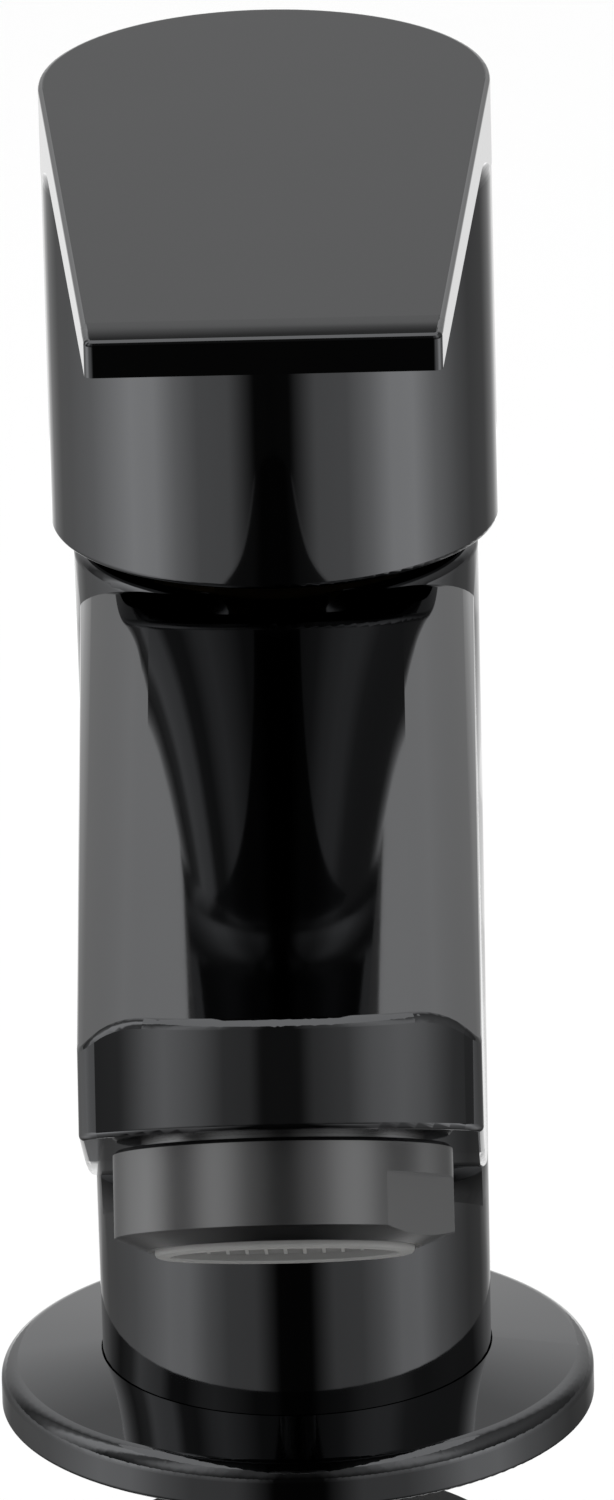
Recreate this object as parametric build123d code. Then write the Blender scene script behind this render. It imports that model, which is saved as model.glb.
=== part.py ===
from build123d import *
import os
from math import asin, atan2, cos, degrees, hypot, radians, sin, sqrt, tan

# Basin pillar tap: a quarter-turn lever over a round body with a wedge spout.
# Millimetres and degrees. The origin is on the body's axis at the deck, +Z is up and the spout points to -Y.

# Clearances
run_gap = 0.05
thread_gap = 0.1
slip_gap = 0.15
free_gap = 0.3

# Base flange and its gasket
flange_r = 31.3
flange_height = 6.2
flange_edge_height = 4.8
flange_edge_round = 2.0
flange_foot_round = 0.5
flange_floor = 2.3
gasket_inner_r = 23.5
gasket_outer_r = 28.5
gasket_thickness = 1.4

# Body column
body_foot_r = 20.5
body_top_r = 21.0
body_top = 96.8
body_edge_round = 1.4

# Spout, with the aerator's axis through the middle of the nose's flat underside
nose_reach = 94.65
nose_drop = 30.75
nose_r = 19.9
nose_front_r = 28.0
nose_corner_r = 5.0
nose_tilt = 25.5
nose_edge_round = 1.4
nose_foot_round = 0.6
spout_root_half_width = 20.55
spout_root_height = 26.9
spout_root_round = 8.0
spout_root_sink = 0.15
spout_fall = 8.3
crown_r = 64.0
crown_half_width = 13.0
shoulder_overlap = 0.22

# Waterways inside the body
seat_height = 68.0
seat_thickness = 6.0
seat_bore_r = 5.5
riser_r = 13.0
chamber_r = 15.0
top_plate = 6.0
spout_bore_r = 8.0
spout_bore_drop = 17.3

# Tail and the nut that clamps it to the deck
tail_r = 10.475
tail_bore_r = 6.75
tail_length = 48.0
tail_engagement = 14.0
tail_end_chamfer = 1.0
tail_end_thread = 13.5
tail_groove_width = 1.5
tail_groove_depth = 0.8
deck_thickness = 18.0
deck_washer_r = 22.0
deck_washer_thickness = 3.0
clamp_washer_r = 20.0
clamp_washer_thickness = 2.0
nut_across_flats = 30.0
nut_height = 8.0
nut_chamfer = 1.2

# Headwork
headwork_thread_r = 10.35
headwork_barrel_r = 9.2
headwork_across_flats = 22.0
headwork_hex_height = 7.0
headwork_hex_chamfer = 1.0
headwork_neck_r = 7.5
headwork_neck_height = 6.0
headwork_seal_r = 13.2
headwork_seal_thickness = 1.0
window_width = 8.0
window_height = 3.0
barrel_foot_gap = 0.6

# Discs and seals at the foot of the headwork
disc_r = 7.0
disc_thickness = 3.2
disc_port_inner_r = 2.0
disc_port_outer_r = 5.4
disc_port_angle = 76.0
seat_seal_height = 2.0
seat_seal_bore_r = 4.6
friction_ring_thickness = 0.5
friction_ring_r = 6.4

# Spindle
spindle_r = 4.0
drive_bar_width = 5.0
drive_bar_height = 3.2
drive_slot_depth = 1.2
spindle_seal_depth = 0.9
spindle_seal_width = 1.8
spindle_seal_pitch = 4.0
clip_thickness = 1.0
clip_r = 6.0
clip_groove_depth = 0.5
spline_teeth = 20
spline_depth = 0.5
spline_length = 12.0

# Handle: skirt and lever
skirt_r = 23.2
skirt_wall = 2.0
skirt_gap = 1.7
handle_height = 47.5
handle_top_fall = 0.7
handle_top_wall = 4.5
lever_reach = 80.0
lever_tip_half_width = 17.5
lever_tip_thickness = 4.0
lever_tip_roll = 5.0
lever_tip_drop = 0.25
lever_corner_round = 0.9
lever_root_round = 5.0
lever_edge_round = 0.6
lever_overhang = 0.05
boss_r = 10.0
spline_bush_r = 6.5
grub_rise = 19.5
grub_r = 2.4
grub_length = 5.0
grub_socket_across_flats = 2.5
grub_socket_depth = 2.5
plug_r = 3.0

# Aerator, measured along its own axis from the nose's underside
aerator_r = 16.75
aerator_shadow_gap = 0.5
aerator_height = 8.6
aerator_bevel = 1.3
aerator_edge = 0.4
aerator_mouth_r = 13.5
aerator_thread_r = 13.9
aerator_thread_length = 7.0
aerator_neck_bore_r = 11.0
aerator_flat_across = 30.3
aerator_flat_turn = 63.0
aerator_flat_start = 3.3
aerator_washer_thickness = 1.5
aerator_washer_bore_r = 10.0
aerator_bore_floor = 2.0
cage_r = 12.8
cage_wall = 1.5
cage_stand_out = 0.7
grille_thickness = 1.6
grille_slot = 1.5
grille_pitch = 2.7
grille_slots = 7
screen_thickness = 0.5
screen_hole = 1.8
screen_pitch = 3.0


# Heights that follow the top of the body

nose_height = body_top - nose_drop
spout_bore_start = body_top - spout_bore_drop
skirt_rim = body_top + skirt_gap
handle_top = skirt_rim + handle_height
grub_height = skirt_rim + grub_rise


# Planes and small helpers

side = Plane(origin=(0, 0, 0), x_dir=(0, -1, 0), z_dir=(-1, 0, 0))
nose_sin = sin(radians(nose_tilt))
nose_cos = cos(radians(nose_tilt))
aerator_plane = Plane(
    origin=(0, -nose_reach, nose_height),
    x_dir=(1, 0, 0),
    z_dir=(0, -nose_sin, -nose_cos),
)
everywhere = 4 * (nose_reach + handle_top)


def turned(points, plane=Plane.XZ, axis=Axis.Z):
    """Solid of revolution of a closed outline of (radius, height) points."""
    return revolve(plane * make_face(Polyline(*points, close=True)), axis)


def ring(outer_r, inner_r, low, high, plane=Plane.XY):
    """Flat ring between two heights above a plane."""
    return extrude(plane.offset(low) * (Circle(outer_r) - Circle(inner_r)), high - low)


def rod(radius, low, high, plane=Plane.XY):
    """Round bar between two heights above a plane."""
    return extrude(plane.offset(low) * Circle(radius), high - low)


def hexagon(across_flats, low, high):
    """Hexagonal bar between two heights."""
    return extrude(Plane.XY.offset(low) * RegularPolygon(across_flats / 2, 6, major_radius=False), high - low)


def hexagon_chamfer(across_flats, low, high, chamfer_height):
    """Turned envelope that takes the corners off the top and foot of a hexagon."""
    flat_r = across_flats / 2
    corner_r = flat_r / cos(radians(30)) + chamfer_height
    return turned(
        [
            (0, low),
            (flat_r, low),
            (corner_r, low + chamfer_height),
            (corner_r, high - chamfer_height),
            (flat_r, high),
            (0, high),
        ]
    )


def spline_outline(root_r, depth):
    """Toothed outline: straight flanks between a root circle and a tip circle."""
    step = 360 / spline_teeth
    points = []
    for tooth in range(spline_teeth):
        for share, radius in ((0.0, root_r), (0.25, root_r), (0.5, root_r + depth), (0.75, root_r + depth)):
            angle = radians(step * (tooth + share))
            points.append((radius * cos(angle), radius * sin(angle)))
    return make_face(Polyline(*points, close=True))


def edges_near(solid, points):
    """The edge of a solid that lies nearest to each of some points."""
    return [solid.edges().sort_by_distance(point)[0] for point in points]


# Base flange, gasket and tail

recess_r = body_foot_r + slip_gap
tail_hole_r = tail_r + free_gap


def make_base_flange():
    shell = turned(
        [
            (tail_hole_r, 0),
            (flange_r, 0),
            (flange_r, flange_edge_height),
            (recess_r, flange_height),
            (recess_r, flange_floor),
            (tail_hole_r, flange_floor),
        ]
    )
    rims = shell.edges().filter_by(GeomType.CIRCLE).sort_by(SortBy.RADIUS)[-2:].sort_by(Axis.Z)
    shell = fillet(rims[1], flange_edge_round)
    rims = shell.edges().filter_by(GeomType.CIRCLE).sort_by(SortBy.RADIUS)[-2:].sort_by(Axis.Z)
    shell = fillet(rims[0], flange_foot_round)
    return shell - ring(gasket_outer_r, gasket_inner_r, 0, gasket_thickness)


def make_base_gasket():
    return ring(gasket_outer_r - slip_gap, gasket_inner_r + slip_gap, 0, gasket_thickness)


def make_tail_shank():
    top = flange_floor + tail_engagement
    foot = -tail_length
    groove_low = foot + tail_end_chamfer + tail_end_thread
    groove_high = groove_low + tail_groove_width
    return turned(
        [
            (tail_bore_r, foot),
            (tail_r - tail_end_chamfer, foot),
            (tail_r, foot + tail_end_chamfer),
            (tail_r, groove_low),
            (tail_r - tail_groove_depth, groove_low),
            (tail_r - tail_groove_depth, groove_high),
            (tail_r, groove_high),
            (tail_r, top),
            (tail_bore_r, top),
        ]
    )


# Deck fixing: rubber washer, metal washer and nut below the deck

washer_top = -deck_thickness
clamp_top = washer_top - deck_washer_thickness
nut_top = clamp_top - clamp_washer_thickness
nut_foot = nut_top - nut_height


def make_deck_washer():
    return ring(deck_washer_r, tail_hole_r, clamp_top, washer_top)


def make_clamp_washer():
    return ring(clamp_washer_r, tail_hole_r, nut_top, clamp_top)


def make_back_nut():
    nut = hexagon(nut_across_flats, nut_foot, nut_top)
    nut &= hexagon_chamfer(nut_across_flats, nut_foot, nut_top, nut_chamfer)
    return nut - rod(tail_r + thread_gap, nut_foot, nut_top)


# Body casting: column, wedge spout, waterways

crown_sin = sin(radians(spout_fall))
crown_cos = cos(radians(spout_fall))
crown_turn = asin(crown_half_width / crown_r)
arch_half_width = max(nose_r, spout_root_half_width) + shoulder_overlap
shoulder_r = (arch_half_width - crown_half_width) / (1 - sin(crown_turn))
shoulder_x = arch_half_width - shoulder_r
shoulder_drop = crown_r - (crown_r - shoulder_r) * cos(crown_turn)
crown_drop = shoulder_drop - sqrt(shoulder_r**2 - (nose_r - shoulder_x) ** 2)
pad_back = (nose_reach - nose_r * nose_cos, nose_height - nose_r * nose_sin)
nose_front = (nose_reach + nose_r * nose_cos, nose_height + nose_r * nose_sin)
nose_front_top = body_top - (nose_front[0] - body_top_r) * tan(radians(spout_fall))
nose_front_height = (nose_front_top - nose_front[1]) / (nose_cos - nose_sin * tan(radians(spout_fall)))
nose_bore_depth = aerator_thread_length + aerator_washer_thickness
spout_root_angle = 2 * degrees(atan2(pad_back[1] - spout_root_height, pad_back[0])) - nose_tilt


def spout_plan(inset=0):
    """Prism along the aerator's axis with the spout's outline: tapered sides, round corners, bowed nose."""
    length = nose_reach * nose_cos + (nose_height - spout_root_height) * nose_sin
    taper = asin((spout_root_half_width - nose_r) / length)
    outward = Vector(cos(taper), sin(taper))
    forward = Vector(-sin(taper), cos(taper))
    bow = Vector(0, nose_r - nose_front_r)
    corner_side = nose_r - nose_corner_r
    corner_rise = sqrt((nose_front_r - nose_corner_r) ** 2 - (corner_side - bow.Y * sin(taper)) ** 2)
    corner = outward * corner_side + forward * (bow.Y * cos(taper) + corner_rise)
    from_bow = (corner - bow).normalized()

    root_end = outward * (spout_root_half_width - inset) - Vector(0, length)
    side_end = corner + outward * (nose_corner_r - inset)
    corner_middle = corner + (outward + from_bow).normalized() * (nose_corner_r - inset)
    front_end = bow + from_bow * (nose_front_r - inset)
    right = [Line(root_end, side_end), ThreePointArc(side_end, corner_middle, front_end)]
    left = [mirror(edge, Plane.YZ) for edge in right]
    front = ThreePointArc(front_end, (0, nose_r - inset), (-front_end.X, front_end.Y))
    back = Line(root_end, (-root_end.X, root_end.Y))
    outline = make_face(right + left + [front, back])
    return extrude(aerator_plane * outline, everywhere, both=True)


def spout_arch():
    """Outline below the spout's crown: a flat arc between two tighter shoulders, and straight sides."""
    edge_x = crown_half_width
    edge_y = crown_r * (cos(crown_turn) - 1)
    side_x = arch_half_width
    middle_turn = (crown_turn + radians(90)) / 2
    middle_x = shoulder_x + shoulder_r * sin(middle_turn)
    middle_y = shoulder_r * cos(middle_turn) - shoulder_drop
    return make_face(
        [
            ThreePointArc((-edge_x, edge_y), (0, 0), (edge_x, edge_y)),
            ThreePointArc((edge_x, edge_y), (middle_x, middle_y), (side_x, -shoulder_drop)),
            Line((side_x, -shoulder_drop), (side_x, -body_top)),
            Line((side_x, -body_top), (-side_x, -body_top)),
            Line((-side_x, -body_top), (-side_x, -shoulder_drop)),
            ThreePointArc((-side_x, -shoulder_drop), (-middle_x, middle_y), (-edge_x, edge_y)),
        ]
    )


def make_spout_wedge():
    front = nose_reach + 2 * nose_r
    front_top = body_top - (front - body_top_r) * tan(radians(spout_fall))
    front_foot = nose_height + (front - nose_reach) * tan(radians(nose_tilt))
    root = (0, spout_root_height)
    profile = make_face(
        [
            Line(root, (0, body_top)),
            Line((0, body_top), (body_top_r, body_top)),
            Line((body_top_r, body_top), (front, front_top)),
            Line((front, front_top), (front, front_foot)),
            Line((front, front_foot), pad_back),
            TangentArc(pad_back, root, tangent=(-nose_cos, -nose_sin)),
        ]
    )
    wedge = spout_plan() & extrude(side * profile, everywhere, both=True)

    crown_plane = Plane(
        origin=(0, -body_top_r, body_top),
        x_dir=(1, 0, 0),
        z_dir=(0, -crown_cos, -crown_sin),
    )
    return wedge & extrude(crown_plane * spout_arch(), everywhere, both=True)


def spout_root_blend():
    """Hollow round under the spout's root. It starts a little inside the column and the underside."""
    behind = 2 * body_top_r
    under = [
        TangentArc(pad_back, (0, spout_root_height), tangent=(-nose_cos, -nose_sin)),
        Line((0, spout_root_height), (-behind, spout_root_height - behind * tan(radians(spout_root_angle)))),
    ]
    over = [Pos(0, spout_root_round) * edge for edge in under]
    ends = [Line(under[0] @ 0, over[0] @ 0), Line(under[1] @ 1, over[1] @ 1)]
    slab = extrude(side * make_face(under + over + ends), behind, both=True)
    core = rod(body_foot_r - spout_root_sink, flange_floor, seat_height)
    sharp = core + Pos(0, 0, spout_root_sink) * slab
    under_front = spout_root_height + body_foot_r * tan(radians(spout_root_angle))
    blended = fillet(edges_near(sharp, [(0, -body_foot_r, under_front)]), spout_root_round)
    return blended & spout_plan(nose_foot_round)


def round_spout_edges(wedge):
    """Soften the crown's edges with the nose's upper lip, then the edges of the underside."""
    middle = nose_reach / 2
    lip = (0, -(nose_front[0] - nose_front_height * nose_sin), nose_front[1] + nose_front_height * nose_cos)
    crown_side = body_top - (middle - body_top_r) * tan(radians(spout_fall)) - crown_drop
    crown_edges = [lip, (nose_r, -middle, crown_side), (-nose_r, -middle, crown_side)]
    wedge = fillet(edges_near(wedge, crown_edges), nose_edge_round)

    pad_side = nose_reach - nose_r * nose_cos / 2
    pad_side_height = nose_height - nose_r * nose_sin / 2
    under_middle = spout_root_height + (pad_back[1] - spout_root_height) * middle / pad_back[0]
    foot_edges = [(0, -nose_front[0], nose_front[1])]
    for hand in (-nose_r, nose_r):
        foot_edges.append((hand, -pad_side, pad_side_height))
        foot_edges.append((hand, -middle, under_middle))
    return fillet(edges_near(wedge, foot_edges), nose_foot_round)


def make_body_casting():
    column = turned(
        [
            (0, flange_floor),
            (body_foot_r, flange_floor),
            (body_top_r, body_top),
            (0, body_top),
        ]
    )
    column = fillet(column.edges().filter_by(GeomType.CIRCLE).sort_by(Axis.Z)[-1], body_edge_round)
    casting = column + round_spout_edges(make_spout_wedge()) + spout_root_blend()

    plate_foot = body_top - top_plate
    casting -= rod(tail_r + thread_gap, flange_floor, flange_floor + tail_engagement)
    casting -= rod(riser_r, flange_floor + tail_engagement, seat_height - seat_thickness)
    casting -= rod(seat_bore_r, flange_floor, seat_height)
    casting -= rod(chamber_r, seat_height, plate_foot)
    casting -= rod(headwork_thread_r + thread_gap, plate_foot, body_top)
    casting -= rod(aerator_thread_r + thread_gap, -nose_bore_depth, 0, aerator_plane)
    bore_start = Vector(0, 0, spout_bore_start)
    bore_end = aerator_plane.origin - aerator_plane.z_dir * (nose_bore_depth / 2)
    run = bore_end - bore_start
    return casting - rod(spout_bore_r, 0, run.length, Plane(origin=bore_start, z_dir=run))


# Headwork: bush, seals, discs and spindle

fixed_low = seat_height + seat_seal_height
moving_low = fixed_low + disc_thickness
moving_top = moving_low + disc_thickness
bar_low = moving_top - drive_slot_depth
bar_top = bar_low + drive_bar_height
shoulder = bar_top + friction_ring_thickness
hex_low = body_top + headwork_seal_thickness
hex_top = hex_low + headwork_hex_height
neck_top = hex_top + headwork_neck_height
clip_top = neck_top + clip_thickness
boss_foot = clip_top + 2 * free_gap
spline_top = boss_foot + spline_length
barrel_bore_r = disc_r + free_gap
seal_groove_r = spindle_r - spindle_seal_depth
seal_lows = [hex_low - spindle_seal_pitch, hex_low]


def make_headwork_bush():
    plate_foot = body_top - top_plate
    bush = turned(
        [
            (spindle_r + run_gap, shoulder),
            (barrel_bore_r, shoulder),
            (barrel_bore_r, seat_height + barrel_foot_gap),
            (headwork_barrel_r, seat_height + barrel_foot_gap),
            (headwork_barrel_r, plate_foot),
            (headwork_thread_r, plate_foot),
            (headwork_thread_r, hex_low),
            (headwork_neck_r, hex_low),
            (headwork_neck_r, neck_top),
            (spindle_r + run_gap, neck_top),
        ]
    )
    nut = hexagon(headwork_across_flats, hex_low, hex_top)
    nut &= hexagon_chamfer(headwork_across_flats, hex_low, hex_top, headwork_hex_chamfer)
    bush += nut - rod(headwork_neck_r, hex_low, hex_top)
    window = Rectangle(window_width, 4 * headwork_barrel_r)
    return bush - extrude(Plane.XY.offset(shoulder - window_height) * window, window_height)


def make_headwork_seal():
    return ring(headwork_seal_r, headwork_thread_r + slip_gap, body_top, hex_low)


def make_seat_seal():
    return ring(disc_r - slip_gap, seat_seal_bore_r, seat_height, fixed_low)


def disc_ports():
    """Two opposite ports, each a sector of a ring."""
    band = Circle(disc_port_outer_r) - Circle(disc_port_inner_r)
    half = radians(disc_port_angle / 2)
    reach = 2 * disc_r
    corners = [(0, 0), (reach * cos(half), reach * sin(half)), (reach * cos(half), -reach * sin(half))]
    wedge = make_face(Polyline(*corners, close=True))
    return band & (wedge + Rot(0, 0, 180) * wedge)


def make_fixed_disc():
    disc = Circle(disc_r) - Rot(0, 0, 90) * disc_ports()
    return extrude(Plane.XY.offset(fixed_low) * disc, disc_thickness)


def make_moving_disc():
    disc = extrude(Plane.XY.offset(moving_low) * (Circle(disc_r) - disc_ports()), disc_thickness)
    slot = Rectangle(drive_bar_width + 2 * slip_gap, 4 * disc_r)
    return disc - extrude(Plane.XY.offset(bar_low) * slot, drive_slot_depth)


def make_spindle():
    bar = Circle(disc_r) & Rectangle(drive_bar_width, 4 * disc_r)
    stem = [(0, moving_top), (spindle_r, moving_top)]
    for low in seal_lows:
        stem += [
            (spindle_r, low),
            (seal_groove_r, low),
            (seal_groove_r, low + spindle_seal_width),
            (spindle_r, low + spindle_seal_width),
        ]
    stem += [
        (spindle_r, neck_top),
        (spindle_r - clip_groove_depth, neck_top),
        (spindle_r - clip_groove_depth, clip_top),
        (spindle_r, clip_top),
        (spindle_r, boss_foot),
        (0, boss_foot),
    ]
    teeth = spline_outline(spindle_r - spline_depth, spline_depth)
    spline = extrude(Plane.XY.offset(boss_foot) * teeth, spline_length)
    return extrude(Plane.XY.offset(bar_low) * bar, drive_bar_height) + turned(stem) + spline


def make_spindle_seals():
    seals = [ring(spindle_r, seal_groove_r, low, low + spindle_seal_width) for low in seal_lows]
    return Compound(seals)


def make_spindle_clip():
    clip = ring(clip_r, spindle_r - clip_groove_depth, neck_top, clip_top)
    mouth = Pos(0, clip_r) * Rectangle(2 * (spindle_r - clip_groove_depth), 2 * clip_r)
    return clip - extrude(Plane.XY.offset(neck_top) * mouth, clip_thickness)


def make_friction_ring():
    return ring(friction_ring_r, spindle_r + slip_gap, bar_top, shoulder)


# Handle: skirt, lever, insert and grub screw

grub_plane = Plane(origin=(0, 0, grub_height), x_dir=(1, 0, 0), z_dir=(0, 1, 0))
bush_top = spline_top + free_gap
skirt_wall_r = skirt_r - lever_overhang
skirt_bore_r = skirt_r - skirt_wall
handle_fall = tan(radians(handle_top_fall))
lever_under = handle_top - lever_reach * handle_fall - lever_tip_thickness
lever_taper = asin(skirt_r / hypot(lever_reach, lever_tip_half_width))
lever_taper -= atan2(lever_tip_half_width, lever_reach)
tangent_x = skirt_r * cos(lever_taper)
tangent_y = -skirt_r * sin(lever_taper)


def lever_plan():
    """Outline of skirt and lever from above: a circle, its two tangents and the straight tip."""
    plan = make_face(
        [
            Line((tangent_x, tangent_y), (lever_tip_half_width, -lever_reach)),
            Line((lever_tip_half_width, -lever_reach), (-lever_tip_half_width, -lever_reach)),
            Line((-lever_tip_half_width, -lever_reach), (-tangent_x, tangent_y)),
            ThreePointArc((-tangent_x, tangent_y), (0, skirt_r), (tangent_x, tangent_y)),
        ]
    )
    return fillet(plan.vertices().sort_by(Axis.Y)[:2], lever_corner_round)


def lever_envelope():
    """Turned bound of the handle: skirt, hollow round at the lever's root, and all above its underside."""
    round_share = 1 - cos(radians(45))
    rim_step = lever_edge_round * round_share
    root_step = lever_root_round * round_share
    rim_in = (skirt_wall_r - lever_edge_round, skirt_rim)
    rim_out = (skirt_wall_r, skirt_rim + lever_edge_round)
    root_low = (skirt_wall_r, lever_under - lever_root_round)
    root_high = (skirt_wall_r + lever_root_round, lever_under)
    section = make_face(
        [
            Line((0, skirt_rim), rim_in),
            ThreePointArc(rim_in, (skirt_wall_r - rim_step, skirt_rim + rim_step), rim_out),
            Line(rim_out, root_low),
            ThreePointArc(root_low, (skirt_wall_r + root_step, lever_under - root_step), root_high),
            Line(root_high, (everywhere, lever_under)),
            Line((everywhere, lever_under), (everywhere, everywhere)),
            Line((everywhere, everywhere), (0, everywhere)),
            Line((0, everywhere), (0, skirt_rim)),
        ]
    )
    return revolve(Plane.XZ * section, Axis.Z)


def make_lever_handle():
    back = -2 * skirt_r
    roll_start = lever_reach - lever_tip_roll
    roll_r = lever_tip_roll**2 / (2 * lever_tip_drop)
    fall_start = (back, handle_top - back * handle_fall)
    fall_end = (roll_start, handle_top - roll_start * handle_fall)
    fall_line = Line(fall_start, fall_end)
    roll = JernArc(fall_end, fall_line % 1, roll_r, -2 * degrees(lever_tip_roll / roll_r))
    front_foot = ((roll @ 1).X, skirt_rim)
    back_foot = (back, skirt_rim)
    below_top = make_face(
        [
            fall_line,
            roll,
            Line(roll @ 1, front_foot),
            Line(front_foot, back_foot),
            Line(back_foot, fall_start),
        ]
    )
    handle = extrude(Plane.XY.offset(skirt_rim) * lever_plan(), handle_top)
    handle &= extrude(side * below_top, everywhere, both=True)
    handle = fillet(edges_near(handle, [(0, skirt_r, handle_top + skirt_r * handle_fall)]), lever_edge_round)
    handle &= lever_envelope()

    ceiling = handle_top - handle_top_wall
    handle -= rod(skirt_bore_r, skirt_rim, ceiling)
    handle += rod(boss_r, boss_foot, ceiling)
    handle -= rod(spline_bush_r + run_gap, boss_foot, bush_top)
    handle -= rod(grub_r + thread_gap, 0, boss_r, grub_plane)
    return handle - rod(plug_r + run_gap, boss_r, 2 * skirt_r, grub_plane)


def make_spline_bush():
    teeth = spline_outline(spindle_r - spline_depth + run_gap, spline_depth)
    return extrude(Plane.XY.offset(boss_foot) * (Circle(spline_bush_r) - teeth), bush_top - boss_foot)


def make_grub_screw():
    start = spline_bush_r + run_gap
    end = start + grub_length
    socket = RegularPolygon(grub_socket_across_flats / 2, 6, major_radius=False)
    screw = rod(grub_r, start, end, grub_plane)
    return screw - extrude(grub_plane.offset(end - grub_socket_depth) * socket, grub_socket_depth)


def make_screw_plug():
    return rod(plug_r, skirt_bore_r, 2 * skirt_r, grub_plane) & rod(skirt_wall_r, skirt_rim, handle_top)


# Aerator: housing, washer, screen and outlet cage

aerator_section = Plane(origin=aerator_plane.origin, x_dir=(1, 0, 0), z_dir=(0, nose_cos, -nose_sin))
aerator_axis = Axis(aerator_plane.origin, aerator_plane.z_dir)
bevel_start = aerator_shadow_gap + aerator_height
mouth = bevel_start + aerator_bevel
cage_start = aerator_bore_floor + screen_thickness
cage_end = mouth + cage_stand_out


def make_aerator_housing():
    housing = turned(
        [
            (aerator_neck_bore_r, -aerator_thread_length),
            (aerator_thread_r, -aerator_thread_length),
            (aerator_thread_r, aerator_shadow_gap),
            (aerator_r - aerator_edge, aerator_shadow_gap),
            (aerator_r, aerator_shadow_gap + aerator_edge),
            (aerator_r, bevel_start),
            (aerator_mouth_r, mouth),
            (cage_r + run_gap, mouth),
            (cage_r + run_gap, aerator_bore_floor),
            (aerator_neck_bore_r, aerator_bore_floor),
        ],
        aerator_section,
        aerator_axis,
    )
    flat_plane = aerator_plane.offset(aerator_shadow_gap + aerator_flat_start)
    outside = Pos(0, aerator_flat_across / 2 + aerator_r) * Rectangle(4 * aerator_r, 2 * aerator_r)
    for turn in (-aerator_flat_turn, 180 - aerator_flat_turn):
        housing -= extrude(flat_plane * Rot(0, 0, turn) * outside, 2 * aerator_height)
    return housing


def make_aerator_washer():
    foot = -nose_bore_depth
    return ring(aerator_thread_r, aerator_washer_bore_r, foot, -aerator_thread_length, aerator_plane)


def make_aerator_screen():
    holes = Sketch()
    reach = int(cage_r // screen_pitch)
    for column in range(-reach, reach + 1):
        for row in range(-reach, reach + 1):
            place = Vector(column * screen_pitch, row * screen_pitch)
            if place.length + screen_hole < cage_r - cage_wall:
                holes += Pos(place.X, place.Y) * Rectangle(screen_hole, screen_hole)
    return extrude(aerator_plane.offset(aerator_bore_floor) * (Circle(cage_r) - holes), screen_thickness)


def make_aerator_cage():
    bore_r = cage_r - cage_wall
    cage = rod(cage_r, cage_start, cage_end, aerator_plane)
    cage -= rod(bore_r, cage_start, cage_end - grille_thickness, aerator_plane)
    middle = (grille_slots - 1) / 2
    slots = Sketch()
    for number in range(grille_slots):
        slots += Pos((number - middle) * grille_pitch, 0) * Rectangle(grille_slot, 2 * bore_r)
    slots &= Circle(bore_r - grille_slot / 2)
    return cage - extrude(aerator_plane.offset(cage_end - grille_thickness) * slots, grille_thickness)


# Every piece, under its node's name

pieces = {
    "body_casting": make_body_casting,
    "base_flange": make_base_flange,
    "base_gasket": make_base_gasket,
    "tail_shank": make_tail_shank,
    "deck_washer": make_deck_washer,
    "clamp_washer": make_clamp_washer,
    "back_nut": make_back_nut,
    "headwork_bush": make_headwork_bush,
    "headwork_seal": make_headwork_seal,
    "seat_seal": make_seat_seal,
    "fixed_disc": make_fixed_disc,
    "moving_disc": make_moving_disc,
    "spindle": make_spindle,
    "spindle_seals": make_spindle_seals,
    "spindle_clip": make_spindle_clip,
    "friction_ring": make_friction_ring,
    "lever_handle": make_lever_handle,
    "spline_bush": make_spline_bush,
    "grub_screw": make_grub_screw,
    "screw_plug": make_screw_plug,
    "aerator_housing": make_aerator_housing,
    "aerator_washer": make_aerator_washer,
    "aerator_screen": make_aerator_screen,
    "aerator_cage": make_aerator_cage,
}

os.makedirs("parts", exist_ok=True)
for name, make in pieces.items():
    export_step(make(), os.path.join("parts", name + ".step"))
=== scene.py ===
"""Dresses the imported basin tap: finishes for every piece, the cut thread, the outlet grid and the studio."""

import math

import bmesh
import bpy
from bpy.props import FloatProperty, FloatVectorProperty, IntProperty, PointerProperty
from mathutils import Matrix, Vector


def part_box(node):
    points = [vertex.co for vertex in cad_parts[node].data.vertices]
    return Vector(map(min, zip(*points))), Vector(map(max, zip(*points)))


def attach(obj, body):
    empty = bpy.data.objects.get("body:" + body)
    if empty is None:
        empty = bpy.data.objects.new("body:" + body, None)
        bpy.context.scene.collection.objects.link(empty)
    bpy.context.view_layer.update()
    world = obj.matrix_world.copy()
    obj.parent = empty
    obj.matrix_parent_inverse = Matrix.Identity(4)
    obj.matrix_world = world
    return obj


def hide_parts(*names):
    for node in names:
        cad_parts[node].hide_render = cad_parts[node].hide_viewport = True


bl_info = {
    "name": "Basin tap",
    "version": (1, 0, 0),
    "blender": (4, 5, 0),
    "location": "View3D > Sidebar > Tap",
    "description": "Finishes, thread, outlet grid and studio for a lever basin tap",
    "category": "Object",
}

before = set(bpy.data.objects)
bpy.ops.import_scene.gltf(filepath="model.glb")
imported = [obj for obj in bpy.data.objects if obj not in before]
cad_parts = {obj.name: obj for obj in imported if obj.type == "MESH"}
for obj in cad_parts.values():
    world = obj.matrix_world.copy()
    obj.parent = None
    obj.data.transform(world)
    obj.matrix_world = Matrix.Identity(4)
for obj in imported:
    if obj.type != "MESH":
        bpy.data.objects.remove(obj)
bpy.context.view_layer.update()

MM = 0.001
FULL_TURN = 2.0 * math.pi

# The aerator's axis points down and this much to the front.
NOSE_TILT = math.radians(25.5)

# Thread, in shares of its pitch from the middle of a ridge: the end of the flat crest and the flank's foot.
RIDGE_CREST = 0.225
RIDGE_FOOT = 0.475

# Outlet: how far a rib runs into the ring, the share of its foot's width that its face has, how much prouder
# the upright ribs stand than the others, and the steps in the round of the ring's lip.
RIB_OVERLAP = 0.1 * MM
RIB_FACE_SHARE = 0.7
UPRIGHT_RISE = 0.06 * MM
LIP_STEPS = 4

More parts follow.
